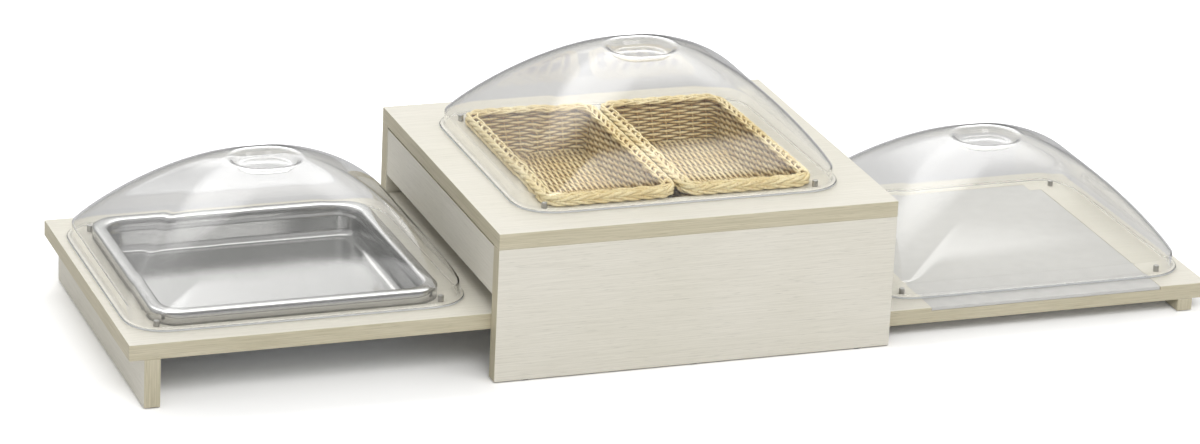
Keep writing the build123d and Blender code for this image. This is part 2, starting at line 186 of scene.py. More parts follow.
bpy.ops.mesh.primitive_grid_add(x_subdivisions=2, y_subdivisions=2, size=floor_size)
floor = bpy.context.object
floor.name = "floor"
finish, tree, output = blank_finish("white_sweep")
paths = add(tree, "LightPath").outputs
mirrored = arithmetic(tree, "MAXIMUM", paths["Is Glossy Ray"], paths["Is Transmission Ray"])
colour = blend_colours(tree, paths["Is Camera Ray"], floor_white, floor_seen)
colour = blend_colours(tree, mirrored, colour, floor_grey)
matt = add(tree, "BsdfDiffuse", Color=colour)
place = add(tree, "Mapping", Vector=add(tree, "TexCoord").outputs["Object"],
            Scale=(1 / shadow_reach[0], 1 / shadow_reach[1], 0))
reach = add(tree, "VectorMath", {"operation": "LENGTH"}, _0=place.outputs["Vector"])
reach = add(tree, "MapRange", Value=reach.outputs["Value"], From_Min=lift_range[0],
            From_Max=lift_range[1], To_Min=floor_lift[0], To_Max=floor_lift[1])
lift = arithmetic(tree, "MULTIPLY", paths["Is Camera Ray"], reach.outputs["Result"])
glow = add(tree, "Emission", Strength=lift)
both = add(tree, "AddShader", _0=matt.outputs[0], _1=glow.outputs[0])
feed(tree, output.inputs["Surface"], both.outputs[0])
floor.data.materials.append(finish)
print("floor:", floor_size, "m square")

# %% [markdown]
# The room is a soft even grey that is lighter overhead and on the left. Mirror-like
# surfaces see more of a contrast: it is dark low in front, where the photographer stands,
# grey low behind, and lighter above, with a broad bright patch high behind that whitens
# the lids' upper parts. That gives the tray its dark bands and the lids their grey
# outlines. A photographed room could light it all too, but a few ramps are easier to tune.

# %% Room
low_level, high_level = 0.33, 0.54
level_heights = (0.0, 0.8)
left_share = 1.7  # how much lighter it is on the left
left_to_right = (-0.9, 0.2)
mirror_front = (0.08, 0.40)  # low and high in front
mirror_back = (0.38, 0.95)  # low and high behind
front_to_back = (-0.7, 0.4)
mirror_heights = (0.05, 0.40)
patch_towards = Vector((0.12, 0.55, 0.82)).normalized()
patch_spread = (0.80, 0.975)  # cosine from its middle where it begins and is full
patch_level = 2.5

world = bpy.data.worlds.new("studio")
bpy.context.scene.world = world
world.use_nodes = True
tree = world.node_tree
tree.nodes.clear()
direction = add(tree, "TexCoord").outputs["Generated"]
parts = add(tree, "SeparateXYZ", Vector=direction).outputs
soft_level = eased_ramp(tree, parts["Z"], *level_heights, low_level, high_level)
left_level = eased_ramp(tree, parts["X"], *left_to_right, left_share, 1.0)
soft_level = arithmetic(tree, "MULTIPLY", soft_level, left_level)
low_mirror = eased_ramp(tree, parts["Y"], *front_to_back, mirror_front[0], mirror_back[0])
high_mirror = eased_ramp(tree, parts["Y"], *front_to_back, mirror_front[1], mirror_back[1])
mirror_level = eased_ramp(tree, parts["Z"], *mirror_heights, low_mirror, high_mirror)
facing = add(tree, "VectorMath", {"operation": "DOT_PRODUCT"}, _0=direction, _1=patch_towards)
patch = eased_ramp(tree, facing.outputs["Value"], *patch_spread, 0.0, patch_level)
paths = add(tree, "LightPath").outputs
mirrored = arithmetic(tree, "MAXIMUM", paths["Is Glossy Ray"], paths["Is Transmission Ray"])
level = add(tree, "Mix", _0=mirrored, _2=soft_level, _3=mirror_level).outputs[0]
patch = arithmetic(tree, "MULTIPLY", patch, paths["Is Glossy Ray"])
level = arithmetic(tree, "ADD", level, patch)
level = arithmetic(tree, "MAXIMUM", level, paths["Is Camera Ray"])
sky = add(tree, "Background", Color=(1, 1, 1, 1), Strength=level)
world_output = tree.nodes.new("ShaderNodeOutputWorld")
feed(tree, world_output.inputs["Surface"], sky.outputs[0])
print("room from", low_level, "low to", high_level, "high")

# %% [markdown]
# Three soft boxes do the rest: one in front for the panels, one behind, and a smaller one
# overhead that shows in each lid as a bright window. A real soft box is brightest in the
# middle, so each fades out towards its edges. The one behind is left out of reflections,
# and none is seen through the lids, which already let the lamps' light through.

# %% Soft boxes
edge_fade = (0.2, 0.5)  # share of the lamp's width from its middle: still full, and dark


def soft_box(name, place, target, width, depth, brightness, mirrored=True):
    """A lamp whose middle is so many times as bright as white paper, and whose edges fade."""
    data = bpy.data.lights.new(name, "AREA")
    data.shape = "RECTANGLE"
    data.size, data.size_y = width, depth
    data.energy = brightness * math.pi * width * depth
    data.use_nodes = True
    tree = data.node_tree
    tree.nodes.clear()
    surface = add(tree, "NewGeometry").outputs["Parametric"]
    across = add(tree, "SeparateXYZ", Vector=surface).outputs
    fades = []
    for axis in "XY":
        offset = arithmetic(tree, "SUBTRACT", across[axis], 0.5)
        fades.append(eased_ramp(tree, arithmetic(tree, "ABSOLUTE", offset), *edge_fade, 1.0, 0.0))
    glow = add(tree, "Emission", Strength=arithmetic(tree, "MULTIPLY", *fades))
    lamp_output = tree.nodes.new("ShaderNodeOutputLight")
    feed(tree, lamp_output.inputs["Surface"], glow.outputs[0])
    lamp = bpy.data.objects.new(name, data)
    lamp.location = place
    lamp.rotation_euler = (Vector(target) - Vector(place)).to_track_quat("-Z", "Y").to_euler()
    lamp.visible_glossy = mirrored
    lamp.visible_transmission = False
    bpy.context.scene.collection.objects.link(lamp)
    print(name, "at", place)


soft_box("front_soft_box", (-0.5, -3.2, 3.0), (0, 0, 0.1), 3.0, 2.0, 6.4)
soft_box("back_soft_box", (-0.3, 2.0, 2.9), (0, 0, 0.1), 3.6, 1.6, 4.1, mirrored=False)
soft_box("overhead_soft_box", (0.90, -1.60, 1.95), (0.1, 0, 0.1), 1.5, 0.9, 4.4)

# %% [markdown]
# A mesh made below becomes an object that sits at the origin with its place in its
# vertices. It rides on the body that carries it, takes the finishes given to it and,
# where it stands for a solid of the frame, that solid is hidden. Small fixings need
# no new mesh: their solids stay, and only get a finish of their own.


# %% Turning meshes into pieces
def piece(name, mesh, body, slot, *finishes, replaces=(), smooth=True):
    if isinstance(mesh, bmesh.types.BMesh):
        data = bpy.data.meshes.new(name)
        mesh.to_mesh(data)
        mesh.free()
    else:
        data = mesh
    made = bpy.data.objects.new(name, data)
    bpy.context.scene.collection.objects.link(made)
    for finish in finishes:
        data.materials.append(finish)
    if smooth:
        data.shade_smooth()
    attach(made, body)
    if replaces:
        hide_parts(*replaces)
    return made


def dress(nodes, finish):
    """Give solids of the frame a finish of their own."""
    for node in nodes:
        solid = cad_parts[node]
        solid.data.materials.clear()
        solid.data.materials.append(finish)
    print(finish.name, "on", len(nodes), "solids")


# %% [markdown]
# The boards are faced with a whitewashed laminate. Close up it has fine short streaks
# along the board, a little darker than the ground, and slow changes of tone. A scan of
# real laminate could be wrapped on, but noise stretched along the grain needs no picture
# and never repeats. The strips on the boards' edges are a warmer tan.

# %% Pale wood
streaks_along = 14.0  # cycles a metre along the grain
streaks_across = 850.0
dashes_along = 45.0
dashes_across = 1300.0
cloud_scale = 6.0
streak_range, dash_range, cloud_range = (0.33, 0.67), (0.60, 0.74), (0.2, 0.8)
dash_shade = 0.86  # how bright a dash is beside the ground
grain_depth = 0.00015
wood_roughness = 0.46
face_tones = (tone(216, 212, 200), tone(226, 222, 211))
edge_tones = (tone(186, 178, 152), tone(205, 197, 174))
cloud_tones = (tone(247, 247, 243), tone(255, 255, 255))


def grain_scale(axes, along, across):
    """A noise scale that is slow along the named axes and quick on the others."""
    return tuple(along if axis in axes else across for axis in "XYZ")


def wood(name, axes, tones):
    finish, tree, output = blank_finish(name)
    streaks = stretched_noise(tree, grain_scale(axes, streaks_along, streaks_across), 4.0)
    dashes = stretched_noise(tree, grain_scale(axes, dashes_along, dashes_across), 2.0)
    clouds = stretched_noise(tree, (cloud_scale,) * 3, 2.0)
    colour = blend_colours(tree, ramp(tree, streaks, *streak_range), *tones)
    dash_tone = tuple(value * dash_shade for value in tones[0][:3]) + (1,)
    colour = blend_colours(tree, ramp(tree, dashes, *dash_range), colour, dash_tone)
    shading = blend_colours(tree, ramp(tree, clouds, *cloud_range), *cloud_tones)
    colour = blend_colours(tree, 1.0, colour, shading, "MULTIPLY")
    relief = add(tree, "Bump", Strength=0.25, Distance=grain_depth, Height=streaks)
    surface = add(tree, "BsdfPrincipled", Base_Color=colour, Normal=relief.outputs["Normal"],
                  Roughness=wood_roughness)
    feed(tree, output.inputs["Surface"], surface.outputs[0])
    return finish


face_along_x = wood("board_face_along_x", "X", face_tones)
face_along_y = wood("board_face_along_y", "Y", face_tones)
edge_level = wood("edge_strip_level", "XY", edge_tones)
edge_upright = wood("edge_strip_upright", "Z", edge_tones)
print("wood finishes: two faces, two edge strips")

# %% [markdown]
# A real board has corners that are rounded by a hair, and they catch a thin line of
# light. The solids are exact boxes with wells and holes, so each board is a copy of its
# solid: its loose triangles are joined, flat areas are merged, and the long outer edges
# are bevelled. A Bevel modifier would round the edges of every hole as well, and so the
# edges are picked one by one: those that lie on two sides of the board's box. The faces
# across the board's thickness get the edge strip's finish.

# %% Boards with softened edges
edge_rounding = 0.0008
near = 0.00002


def on_two_sides(edge, low, high):
    """Whether a mesh edge is one of the twelve outer edges of its box."""
    sides = 0
    for axis in range(3):
        a, b = edge.verts[0].co[axis], edge.verts[1].co[axis]
        limits = (low[axis], high[axis])
        sides += any(abs(a - limit) < near and abs(b - limit) < near for limit in limits)
    return sides == 2 and len(edge.link_faces) == 2


def softened(node, name, body, slot, face_finish, edge_finish, rounding=edge_rounding):
    low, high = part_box(node)
    mesh = bmesh.new()
    mesh.from_mesh(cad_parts[node].data)
    bmesh.ops.remove_doubles(mesh, verts=mesh.verts, dist=near)
    bmesh.ops.dissolve_limit(mesh, angle_limit=math.radians(1), verts=mesh.verts, edges=mesh.edges)
    outer = [edge for edge in mesh.edges if on_two_sides(edge, low, high)]
    bmesh.ops.bevel(mesh, geom=outer, offset=rounding, segments=2, profile=0.5,
                    affect="EDGES", material=-1)
    size = high - low
    thin = min(range(3), key=lambda axis: size[axis])
    for face in mesh.faces:
        face.material_index = 0 if abs(face.normal[thin]) > 0.5 else 1
        face.smooth = False
    return piece(name, mesh, body, slot, face_finish, edge_finish, replaces=(node,), smooth=False)


boards = (
    ("riser_top_board", "riser", face_along_x, edge_level),
    ("riser_front_panel", "riser", face_along_x, edge_upright),
    ("riser_back_panel", "riser", face_along_x, edge_upright),
    ("riser_left_band", "riser", face_along_y, edge_level),
    ("riser_right_band", "riser", face_along_y, edge_level),
    ("left_shelf_board", "left_shelf", face_along_x, edge_level),
    ("right_shelf_board", "right_shelf", face_along_x, edge_level),
    ("left_shelf_leg", "left_shelf", face_along_y, edge_upright),
    ("right_shelf_leg", "right_shelf", face_along_y, edge_upright),
)
for node, body, face_finish, edge_finish in boards:
    softened(node, node + "_faced", body, "pale_wood", face_finish, edge_finish)
for name in ("left", "right"):
    for side in ("front", "back"):
        node = f"{name}_shelf_{side}_runner"
        softened(node, node + "_planed", "riser", "pale_wood", edge_level, edge_level)
print("boards and runners softened:", len(boards) + 4)

# %% [markdown]
# The fixings under the boards are seen only when a shelf is turned over, but each has its
# own finish: zinc screws, beech dowels and rubber pads. One helper serves them all,
# because a plain moulded or metal surface is little more than two close tones and a
# roughness.

# %% Small hardware
speckle_range = (0.3, 0.7)


def plain_finish(name, colours, speckle_scale, roughness, metallic=0.0, bump=0.0):
    """A moulded or metal surface: two close tones mixed by fine noise, and a slight bump."""
    finish, tree, output = blank_finish(name)
    speckle = stretched_noise(tree, (speckle_scale,) * 3, 4.0)
    colour = blend_colours(tree, ramp(tree, speckle, *speckle_range), *colours)
    relief = add(tree, "Bump", Strength=0.3, Distance=bump, Height=speckle)
    surface = add(tree, "BsdfPrincipled", Base_Color=colour, Normal=relief.outputs["Normal"],
                  Roughness=roughness, Metallic=metallic)
    feed(tree, output.inputs["Surface"], surface.outputs[0])
    return finish


zinc_tones = (tone(150, 150, 146), tone(178, 178, 174))
beech_tones = (tone(188, 155, 112), tone(208, 178, 136))
rubber_tones = (tone(28, 28, 28), tone(40, 40, 40))
zinc = plain_finish("zinc_plate", zinc_tones, 900.0, 0.35, metallic=1.0, bump=0.00005)
beech = plain_finish("beech_dowel", beech_tones, 500.0, 0.6, bump=0.0001)
rubber = plain_finish("black_rubber", rubber_tones, 700.0, 0.8, bump=0.0001)
tub_screws = [f"{name}_tub_screws" for name in stations]
dress(["left_runner_screws", "right_runner_screws"] + tub_screws, zinc)
dress(["riser_top_dowels", "riser_band_dowels", "left_leg_dowels", "right_leg_dowels"], beech)
dress(["riser_foot_pads", "left_foot_pads", "right_foot_pads"], rubber)

# %% [markdown]
# Under each board hangs a thin white tub with a blue gel pack in it. They are hidden by
# what stands on them until a lid and tray are lifted, and then their plain moulded
# surfaces show: satin white sheet, and a milky blue bottle with a white cap.

# %% Tubs and cold packs
tub_tones = (tone(222, 224, 223), tone(232, 234, 233))
pack_tones = (tone(96, 150, 196), tone(124, 172, 210))
cap_tones = (tone(228, 230, 232), tone(238, 240, 241))
tub_sheet = plain_finish("white_tub", tub_tones, 120.0, 0.38, bump=0.0002)
gel_bottle = plain_finish("blue_pack", pack_tones, 45.0, 0.33, bump=0.0006)
cap_plastic = plain_finish("pack_cap", cap_tones, 300.0, 0.4, bump=0.0001)
dress([f"{name}_well_tub" for name in stations], tub_sheet)
dress([f"{name}_cold_pack" for name in stations], gel_bottle)
dress([f"{name}_pack_cap" for name in stations], cap_plastic)

# %% [markdown]
# The lids, the tray and the baskets all have a plan that is a rounded rectangle, so two
# helpers measure the way round one, and find the place and the outward direction at any
# distance along it.


# %% The way round a rounded rectangle
def girth(width, depth, radius):
    """The length of the way round a rounded rectangle."""
    return 2 * (width + depth) - 8 * radius + 2 * math.pi * radius


def walk(width, depth, radius, distance):
    """The place and outward direction at a distance along a rounded rectangle."""
    arc = radius * math.pi / 2
    spans = (depth - 2 * radius, width - 2 * radius) * 2
    distance %= sum(spans) + 4 * arc
    for quarter, span in enumerate(spans):
        if distance < span + arc:
            break
        distance -= span + arc
    across = (width, depth)[quarter % 2] / 2
    turn = max(0.0, distance - span) / radius
    along = min(distance, span) - span / 2
    out = Vector((math.cos(turn), math.sin(turn)))
    spin = Matrix.Rotation(quarter * math.pi / 2, 2)
    return spin @ (Vector((across - radius, along)) + radius * out), spin @ out


print("girth of a 0.40 by 0.35 m plan with 0.05 m corners:", round(girth(0.40, 0.35, 0.05), 4))

# %% [markdown]
# The lids and the tray are built alike. A plain box could be bevelled into them, but their
# corners change from height to height. So one ring of points is drawn round the plan, and
# further rings are extruded from it, each moved to the next width, depth, corner radius
# and height of the profile. Each point remembers its number, so that it always knows its
# place on a ring. Extruding leaves edges and faces in an order that changes from run to
# run, so they are put in the order of their points at the end.

# %% Skins through rings
ring_steps = 240
cap_inset = 0.002


def ring_places(width, depth, radius, easing):
    """Evenly spaced places on a ring. Easing softens where its sides turn into corners."""
    length = girth(width, depth, radius)
    places = [walk(width, depth, radius, length * step / ring_steps)[0]
              for step in range(ring_steps)]
    for _ in range(easing):
        places = [(places[step - 1] + 2 * place + places[(step + 1) % ring_steps]) / 4
                  for step, place in enumerate(places)]
    return places


def point_order(element):
    """A number by which edges and faces are put in the order of their points."""
    places = [vert.index for vert in element.verts]
    return min(places) * 1e6 + max(places)


def ring_form(centre, sections, easing=0):
    """A skin through rounded rectangles, each given as width, depth, radius and height."""
    mesh = bmesh.new()
    number = mesh.verts.layers.int.new("number")
    ring = bmesh.ops.create_circle(mesh, segments=ring_steps, radius=1.0)["verts"]
    for step, vert in enumerate(ring):
        vert[number] = step
    edges = list(mesh.edges)
    for index, (width, depth, radius, height) in enumerate(sections):
        if index:
            grown = bmesh.ops.extrude_edge_only(mesh, edges=edges)["geom"]
            ring = [item for item in grown if isinstance(item, bmesh.types.BMVert)]
            fresh = set(ring)
            edges = [item for item in grown if isinstance(item, bmesh.types.BMEdge)
                     and item.verts[0] in fresh and item.verts[1] in fresh]
        places = ring_places(width, depth, radius, easing)
        for vert in ring:
            place = places[vert[number]]
            vert.co = (centre + place.x, place.y, height)
    cap = bmesh.ops.contextual_create(mesh, geom=edges)["faces"]
    bmesh.ops.inset_region(mesh, faces=cap, thickness=cap_inset)
    bmesh.ops.recalc_face_normals(mesh, faces=mesh.faces)
    mesh.verts.index_update()
    mesh.edges.sort(key=point_order)
    mesh.faces.sort(key=point_order)
    return mesh


def outward(mesh, height):
    """Turn the skin round if the face nearest to a height of its outer side looks inwards."""
    nearest = min(mesh.faces, key=lambda face: abs(face.calc_center_median().z - height))
    centre = nearest.calc_center_median()
    middle = sum((vert.co.x for vert in mesh.verts)) / len(mesh.verts)
    if nearest.normal.dot(Vector((centre.x - middle, centre.y, 0))) < 0:
        bmesh.ops.reverse_faces(mesh, faces=mesh.faces)
    return mesh


print("points on each ring:", ring_steps)

# %% [markdown]
# A lid is one clear moulding: a flat narrow flange, an upright skirt, a bulge that draws
# in evenly to a round crown, and an oval sunk into the crown for the fingers. The bulge
# follows a superellipse, sampled at angles up the dome, because a plain arc comes out
# either too pointed or too flat. Each part of the profile is a short list of rings.

# %% Profile of a lid: flange and skirt
flange_top = 0.003  # of the flange's upper side above the board
lid_flange = 0.006
lid_corner = 0.047
lid_height = 0.146
skirt_height = 0.020
skirt_round = 0.003
shoulder_round = 0.007
shoulder_lean = math.radians(31)


def lid_skirt(width, depth, base):
    """Rings of the flange, the skirt and the fillet that leads into the bulge."""
    steps = [(0, flange_top)]
    for angle in (0, 30, 60, 90):
        turn = math.radians(angle)
        steps.append((lid_flange - skirt_round * (1 - math.sin(turn)),
                      flange_top + skirt_round * (1 - math.cos(turn))))
    for share in (0.0, 0.25, 0.5, 0.75):
        lean = share * shoulder_lean
        drop = shoulder_round * (math.tan(shoulder_lean / 2) - math.sin(lean))
        steps.append((lid_flange + shoulder_round * (1 - math.cos(lean)), skirt_height - drop))
    return [(width - 2 * inset, depth - 2 * inset, lid_corner - inset, base + height)
            for inset, height in steps]


print("rings of the flange and skirt:", len(lid_skirt(0.42, 0.366, 0.0)))

# %% [markdown]
# Two exponents shape the bulge: one for how it draws in on plan, one for how it rises. Its
# corners grow rounder on the way up, until the crown is nearly an oval. The lowest rings
# are left out, where the fillet of the skirt takes their place.

# %% Profile of a lid: bulge
side_curve = 2.06
crown_curve = 1.08
corner_growth = 0.89
roundest_corner = 0.96
top_angle = 76.5
dome_rings = 30
first_dome_ring = 3


def lid_bulge(width, depth, base):
    skirt_width, skirt_depth = width - 2 * lid_flange, depth - 2 * lid_flange
    rings = []
    for index in range(first_dome_ring, dome_rings + 1):
        turn = math.radians(top_angle * index / dome_rings)
        drawn_in = 1 - math.cos(turn) ** (2 / side_curve)
        half_depth = skirt_depth / 2 * (1 - drawn_in)
        grown = corner_growth * drawn_in * half_depth
        corner = (lid_corner - lid_flange) * (1 - drawn_in) + grown
        rise = (lid_height - skirt_height) * math.sin(turn) ** (2 / crown_curve)
        rings.append((skirt_width * (1 - drawn_in), 2 * half_depth,
                      min(corner, roundest_corner * half_depth), base + skirt_height + rise))
    return rings


print("rings of the bulge:", len(lid_bulge(0.42, 0.366, 0.0)))

# %% [markdown]
# The finger grip is an oval basin. Its shoulder rolls over from the slope at which the
# bulge arrives to the slope of the basin's wall, and a rounded foot leads into the flat
# floor. With a sharp rim it would draw a hard dark ring in the clear plastic.

# %% Profile of a lid: sunk grip
grip_depth = 0.011
grip_slope = math.radians(57)
grip_shoulder = 0.010
grip_arrival = math.radians(17)  # the slope at which the bulge reaches the shoulder
grip_foot = 0.006
shoulder_rings = 9
foot_rings = 6


def lid_grip(width, depth, crown):
    steps = []
    for index in range(1, shoulder_rings + 1):
        lean = (grip_slope + grip_arrival) * index / shoulder_rings - grip_arrival
        inset = grip_shoulder * (math.sin(lean) + math.sin(grip_arrival))
        height = grip_shoulder * (math.cos(lean) - math.cos(grip_arrival))
        steps.append((inset, height))
    top = grip_shoulder * (1 - math.cos(grip_arrival))
    foot = grip_foot * (1 - math.cos(grip_slope))
    inset += (height - top + grip_depth - foot) / math.tan(grip_slope)
    for index in range(foot_rings + 1):
        lean = grip_slope * (1 - index / foot_rings)
        steps.append((inset + grip_foot * (math.sin(grip_slope) - math.sin(lean)),
                      top - grip_depth + grip_foot * (1 - math.cos(lean))))
    return [(2 * (width / 2 - inset), 2 * (depth / 2 - inset),
             roundest_corner * (depth / 2 - inset), crown + height) for inset, height in steps]


def lid_sections(width, depth, base):
    rings = lid_skirt(width, depth, base) + lid_bulge(width, depth, base)
    top_width, top_depth, _, crown = rings[-1]
    return rings + lid_grip(top_width, top_depth, crown)


print("rings of a whole lid:", len(lid_sections(0.42, 0.366, 0.0)))

# %% [markdown]
# The lids are clear plastic, faintly warm, with smooth faces. Light has to bend in it, so
# the shader is fully transmissive, but a lamp's light that only passes through on its way
# to the wood is let straight through, because bent shadows would come out far too dark.
# The cut edge of the flange is a pale line on a real lid, and has a finish of its own.

# %% Clear plastic
finish, tree, output = blank_finish("clear_plastic")
clear = add(tree, "BsdfPrincipled", Base_Color=(0.958, 0.957, 0.950, 1), Roughness=0.0,
            IOR=1.5, Transmission_Weight=1.0)
through = add(tree, "BsdfTransparent", Color=(0.955, 0.955, 0.95, 1))
shadow_ray = add(tree, "LightPath").outputs["Is Shadow Ray"]
lid_mix = add(tree, "MixShader", _0=shadow_ray, _1=clear.outputs[0], _2=through.outputs[0])
feed(tree, output.inputs["Surface"], lid_mix.outputs[0])
clear_plastic = finish
cut_edge = plain_finish("cut_edge", (tone(196, 198, 200), tone(208, 210, 212)), 300.0, 0.3)
print("lid finishes:", clear_plastic.name, "and", cut_edge.name)

# %% [markdown]
# The skin gets the thickness of the sheet from a Solidify modifier, because clear plastic
# needs two surfaces to bend light as it should. It grows inwards, so that the outside
# keeps its size, and a small Bevel rounds the flange's cut edge.

# %% Clear lids
lid_sheet = 0.0025
lid_easing = 4
rim_rounding = 0.0007

for name in stations:
    low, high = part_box(f"{name}_lid")
    sections = lid_sections(high.x - low.x, high.y - low.y, low.z)
    shell = ring_form((low.x + high.x) / 2, sections, lid_easing)
    outward(shell, low.z + skirt_height * 0.5)
    lid = piece(f"{name}_lid_clear", shell, f"{name}_lid", "clear_lid", clear_plastic, cut_edge,
                replaces=(f"{name}_lid",))
    sheet = lid.modifiers.new("sheet", "SOLIDIFY")
    sheet.thickness = lid_sheet
    sheet.offset = -1
    sheet.material_offset_rim = 1
    rounding = lid.modifiers.new("rounding", "BEVEL")
    rounding.limit_method = "ANGLE"
    rounding.angle_limit = math.radians(60)
    rounding.width = rim_rounding
    rounding.segments = 2
    print(name, "lid: rings", len(sections), "crown at", round(high.z, 4))

# %% [markdown]
# The tray is pressed steel: an outer skirt, a flat rim, a rolled edge into the basin, a
# shallow step on which trays stack, drafted walls and a well-rounded floor. Rings at
# those heights give the pressing its soft lines, and a thickness makes it a real sheet.

# %% Profile of the tray
tray_corner = 0.034
mouth_corner = 0.027
tray_rim = 0.015
tray_roll = 0.0028
tray_depth = 0.040
tray_draft = math.radians(7)
tray_floor_round = 0.011
floor_rings = 6
stack_step = 0.0016
stack_level = 0.011
stack_rings = ((0, -0.002), (0.3, 0), (1, 0.0012))  # share of the step, and how far down
step_lead_in, step_lead_down = 0.0003, 0.004
outer_round = 0.0022
skirt_level = 0.025  # of the skirt's lower edge above the foot of the tray
skirt_gap = 0.0003
skirt_band = 0.004  # the straight part of the skirt below its rounded upper edge


def tray_sections(width, depth, foot_level, top):
    rings = []

    def ring(inset, drop, corner):
        rings.append((width - 2 * inset, depth - 2 * inset, corner, top - drop))

    ring(0, top - (foot_level + skirt_level) - skirt_gap, tray_corner)
    ring(0, outer_round + skirt_band, tray_corner)
    for angle in (0, 30, 60, 90):
        turn = math.radians(angle)
        ring(outer_round * (1 - math.cos(turn)), outer_round * (1 - math.sin(turn)),
             tray_corner - outer_round / 2)
    for angle in (0, 25, 50, 75):
        turn = math.radians(angle)
        ring(tray_rim - tray_roll + tray_roll * math.sin(turn),
             tray_roll * (1 - math.cos(turn)), mouth_corner)
    wall = tray_rim + tray_roll * 0.1
    for share, drop in stack_rings:
        ring(wall + stack_step * share, stack_level + drop, mouth_corner - stack_step * share)
    ring(wall + stack_step + step_lead_in, stack_level + step_lead_down, mouth_corner - stack_step)
    foot = tray_depth - tray_floor_round * (1 - math.sin(tray_draft))
    foot_inset = wall + stack_step + (foot - stack_level) * math.tan(tray_draft)
    for index in range(floor_rings + 1):
        turn = tray_draft + (math.pi / 2 - tray_draft) * index / floor_rings
        inset = foot_inset + tray_floor_round * (math.cos(tray_draft) - math.cos(turn))
        drop = tray_depth - tray_floor_round * (1 - math.sin(turn))
        ring(inset, drop, mouth_corner - stack_step - (inset - wall) * 0.5)
    return rings


low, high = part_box("steel_tray")
tray_rings = tray_sections(high.x - low.x, high.y - low.y, low.z, high.z)
print("rings of the tray:", len(tray_rings))

# %% [markdown]
# Polished steel is nearly a mirror, and its picture is mostly the room's. Its roughness
# changes slowly from place to place, as wiping leaves it, so that reflections are not
# equally sharp everywhere.

# %% Steel tray
tray_sheet = 0.001
skirt_sample = 0.005  # below the rim, where the skin is sure to face away from the middle
steel_tone = tone(203, 203, 202)
smear_scale = 9.0
sharpest, dullest = 0.14, 0.19  # roughness

finish, tree, output = blank_finish("polished_steel")
smears = stretched_noise(tree, (smear_scale,) * 3, 2.0)
roughness = add(tree, "MapRange", Value=smears, From_Min=0.3, From_Max=0.7,
                To_Min=sharpest, To_Max=dullest)
steel = add(tree, "BsdfPrincipled", Base_Color=steel_tone, Metallic=1.0,
            Roughness=roughness.outputs["Result"])
feed(tree, output.inputs["Surface"], steel.outputs[0])
polished_steel = finish

pressing = outward(ring_form((low.x + high.x) / 2, tray_rings), high.z - skirt_sample)
tray = piece("steel_tray_pressed", pressing, "steel_tray", "tray_steel", polished_steel,
             replaces=("steel_tray",))
sheet = tray.modifiers.new("sheet", "SOLIDIFY")
sheet.thickness = tray_sheet
sheet.offset = -1
print("tray:", [round(value, 4) for value in (high - low)])

# %% [markdown]
# The slab is a smooth white plate let into the right board, and it is softened as a board
# is. The locating pins are short turned steel posts at the corners of each serving place:
# cylinders whose top edge alone is bevelled.

# %% White slab and locating pins
slab_tones = (tone(192, 191, 187), tone(198, 197, 193))
slab_rounding = 0.0004
pin_tones = (tone(168, 166, 162), tone(190, 188, 184))
pin_radius = 0.0035
pin_top_round = 0.0012

slab_white = plain_finish("white_slab", slab_tones, 60.0, 0.35, bump=0.00005)
softened("white_slab", "white_slab_polished", "white_slab", "white_slab", slab_white, slab_white,
         slab_rounding)
pin_steel = plain_finish("pin_steel", pin_tones, 400.0, 0.35, metallic=1.0, bump=0.00005)
for name, body in stations.items():
    low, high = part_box(f"{name}_locating_pins")
    pins = bmesh.new()
    for x in (low.x + pin_radius, high.x - pin_radius):
        for y in (low.y + pin_radius, high.y - pin_radius):
            place = Matrix.Translation((x, y, (low.z + high.z) / 2))
            bmesh.ops.create_cone(pins, cap_ends=True, segments=28, radius1=pin_radius,
                                  radius2=pin_radius, depth=high.z - low.z, matrix=place)
    rims = [edge for edge in pins.edges
            if all(abs(vert.co.z - high.z) < near for vert in edge.verts)]
    bmesh.ops.bevel(pins, geom=rims, offset=pin_top_round, segments=4, profile=0.5,
                    affect="EDGES", material=-1)
    made = piece(f"{name}_pins_turned", pins, body, "pin_steel", pin_steel,
                 replaces=(f"{name}_locating_pins",))
    made.data.set_sharp_from_angle(angle=math.radians(40))
    print(name, "pins are", round(high.z - low.z, 4), "m long")

# %% [markdown]
# The baskets are woven from thin round cane. A woven picture on a smooth wall would look
# flat where the light comes from the side, so each strand is a curve with a round section
# that swings in and out as a cosine. A bundle of them is turned into one mesh.


# %% Bundles of cane
class Canes:
    """A bundle of round strands that becomes one mesh."""

    def __init__(self, name):
        self.data = bpy.data.curves.new(name, "CURVE")
        self.data.dimensions = "3D"
        self.data.bevel_depth = 1.0
        self.data.bevel_resolution = 1
        self.data.use_fill_caps = True

    def lay(self, points, radius, closed=False):
        spline = self.data.splines.new("POLY")
        spline.points.add(len(points) - 1)
        for point, place in zip(spline.points, points):
            point.co = (*place, 1)
            point.radius = radius
        spline.use_cyclic_u = closed

    def mesh(self):
        holder = bpy.data.objects.new("holder", self.data)
        bpy.context.scene.collection.objects.link(holder)
        evaluated = holder.evaluated_get(bpy.context.evaluated_depsgraph_get())
        made = bpy.data.meshes.new_from_object(evaluated)
        bpy.data.objects.remove(holder)
        made.materials.clear()
        return made


print("bundles of cane are ready")

# %% [markdown]
# Natural cane is a warm straw colour with browner stretches and a faint sheen. Between
# the strands a weave is nearly dark. Some of that comes from shadow, but the gaps are too
# fine for it to carry alone, so each point notes how deep it lies, and the deep points
# get painted shade: a dark brown mixed into the colour.

# %% Cane
painted_shade_reach = (0.0003, 0.0021)  # from the middle of the weave: fully dark, not dark
patch_scale = (22.0, 22.0, 60.0)
fibre_scale = 420.0
fibre_depth = 0.0002
straw_tones = (tone(232, 211, 155), tone(247, 234, 190))
fibre_tone = tone(200, 170, 118)
# painted shade: the dark brown that the deepest points of the weave are given
painted_gap_shade_tone = tone(140, 102, 48)

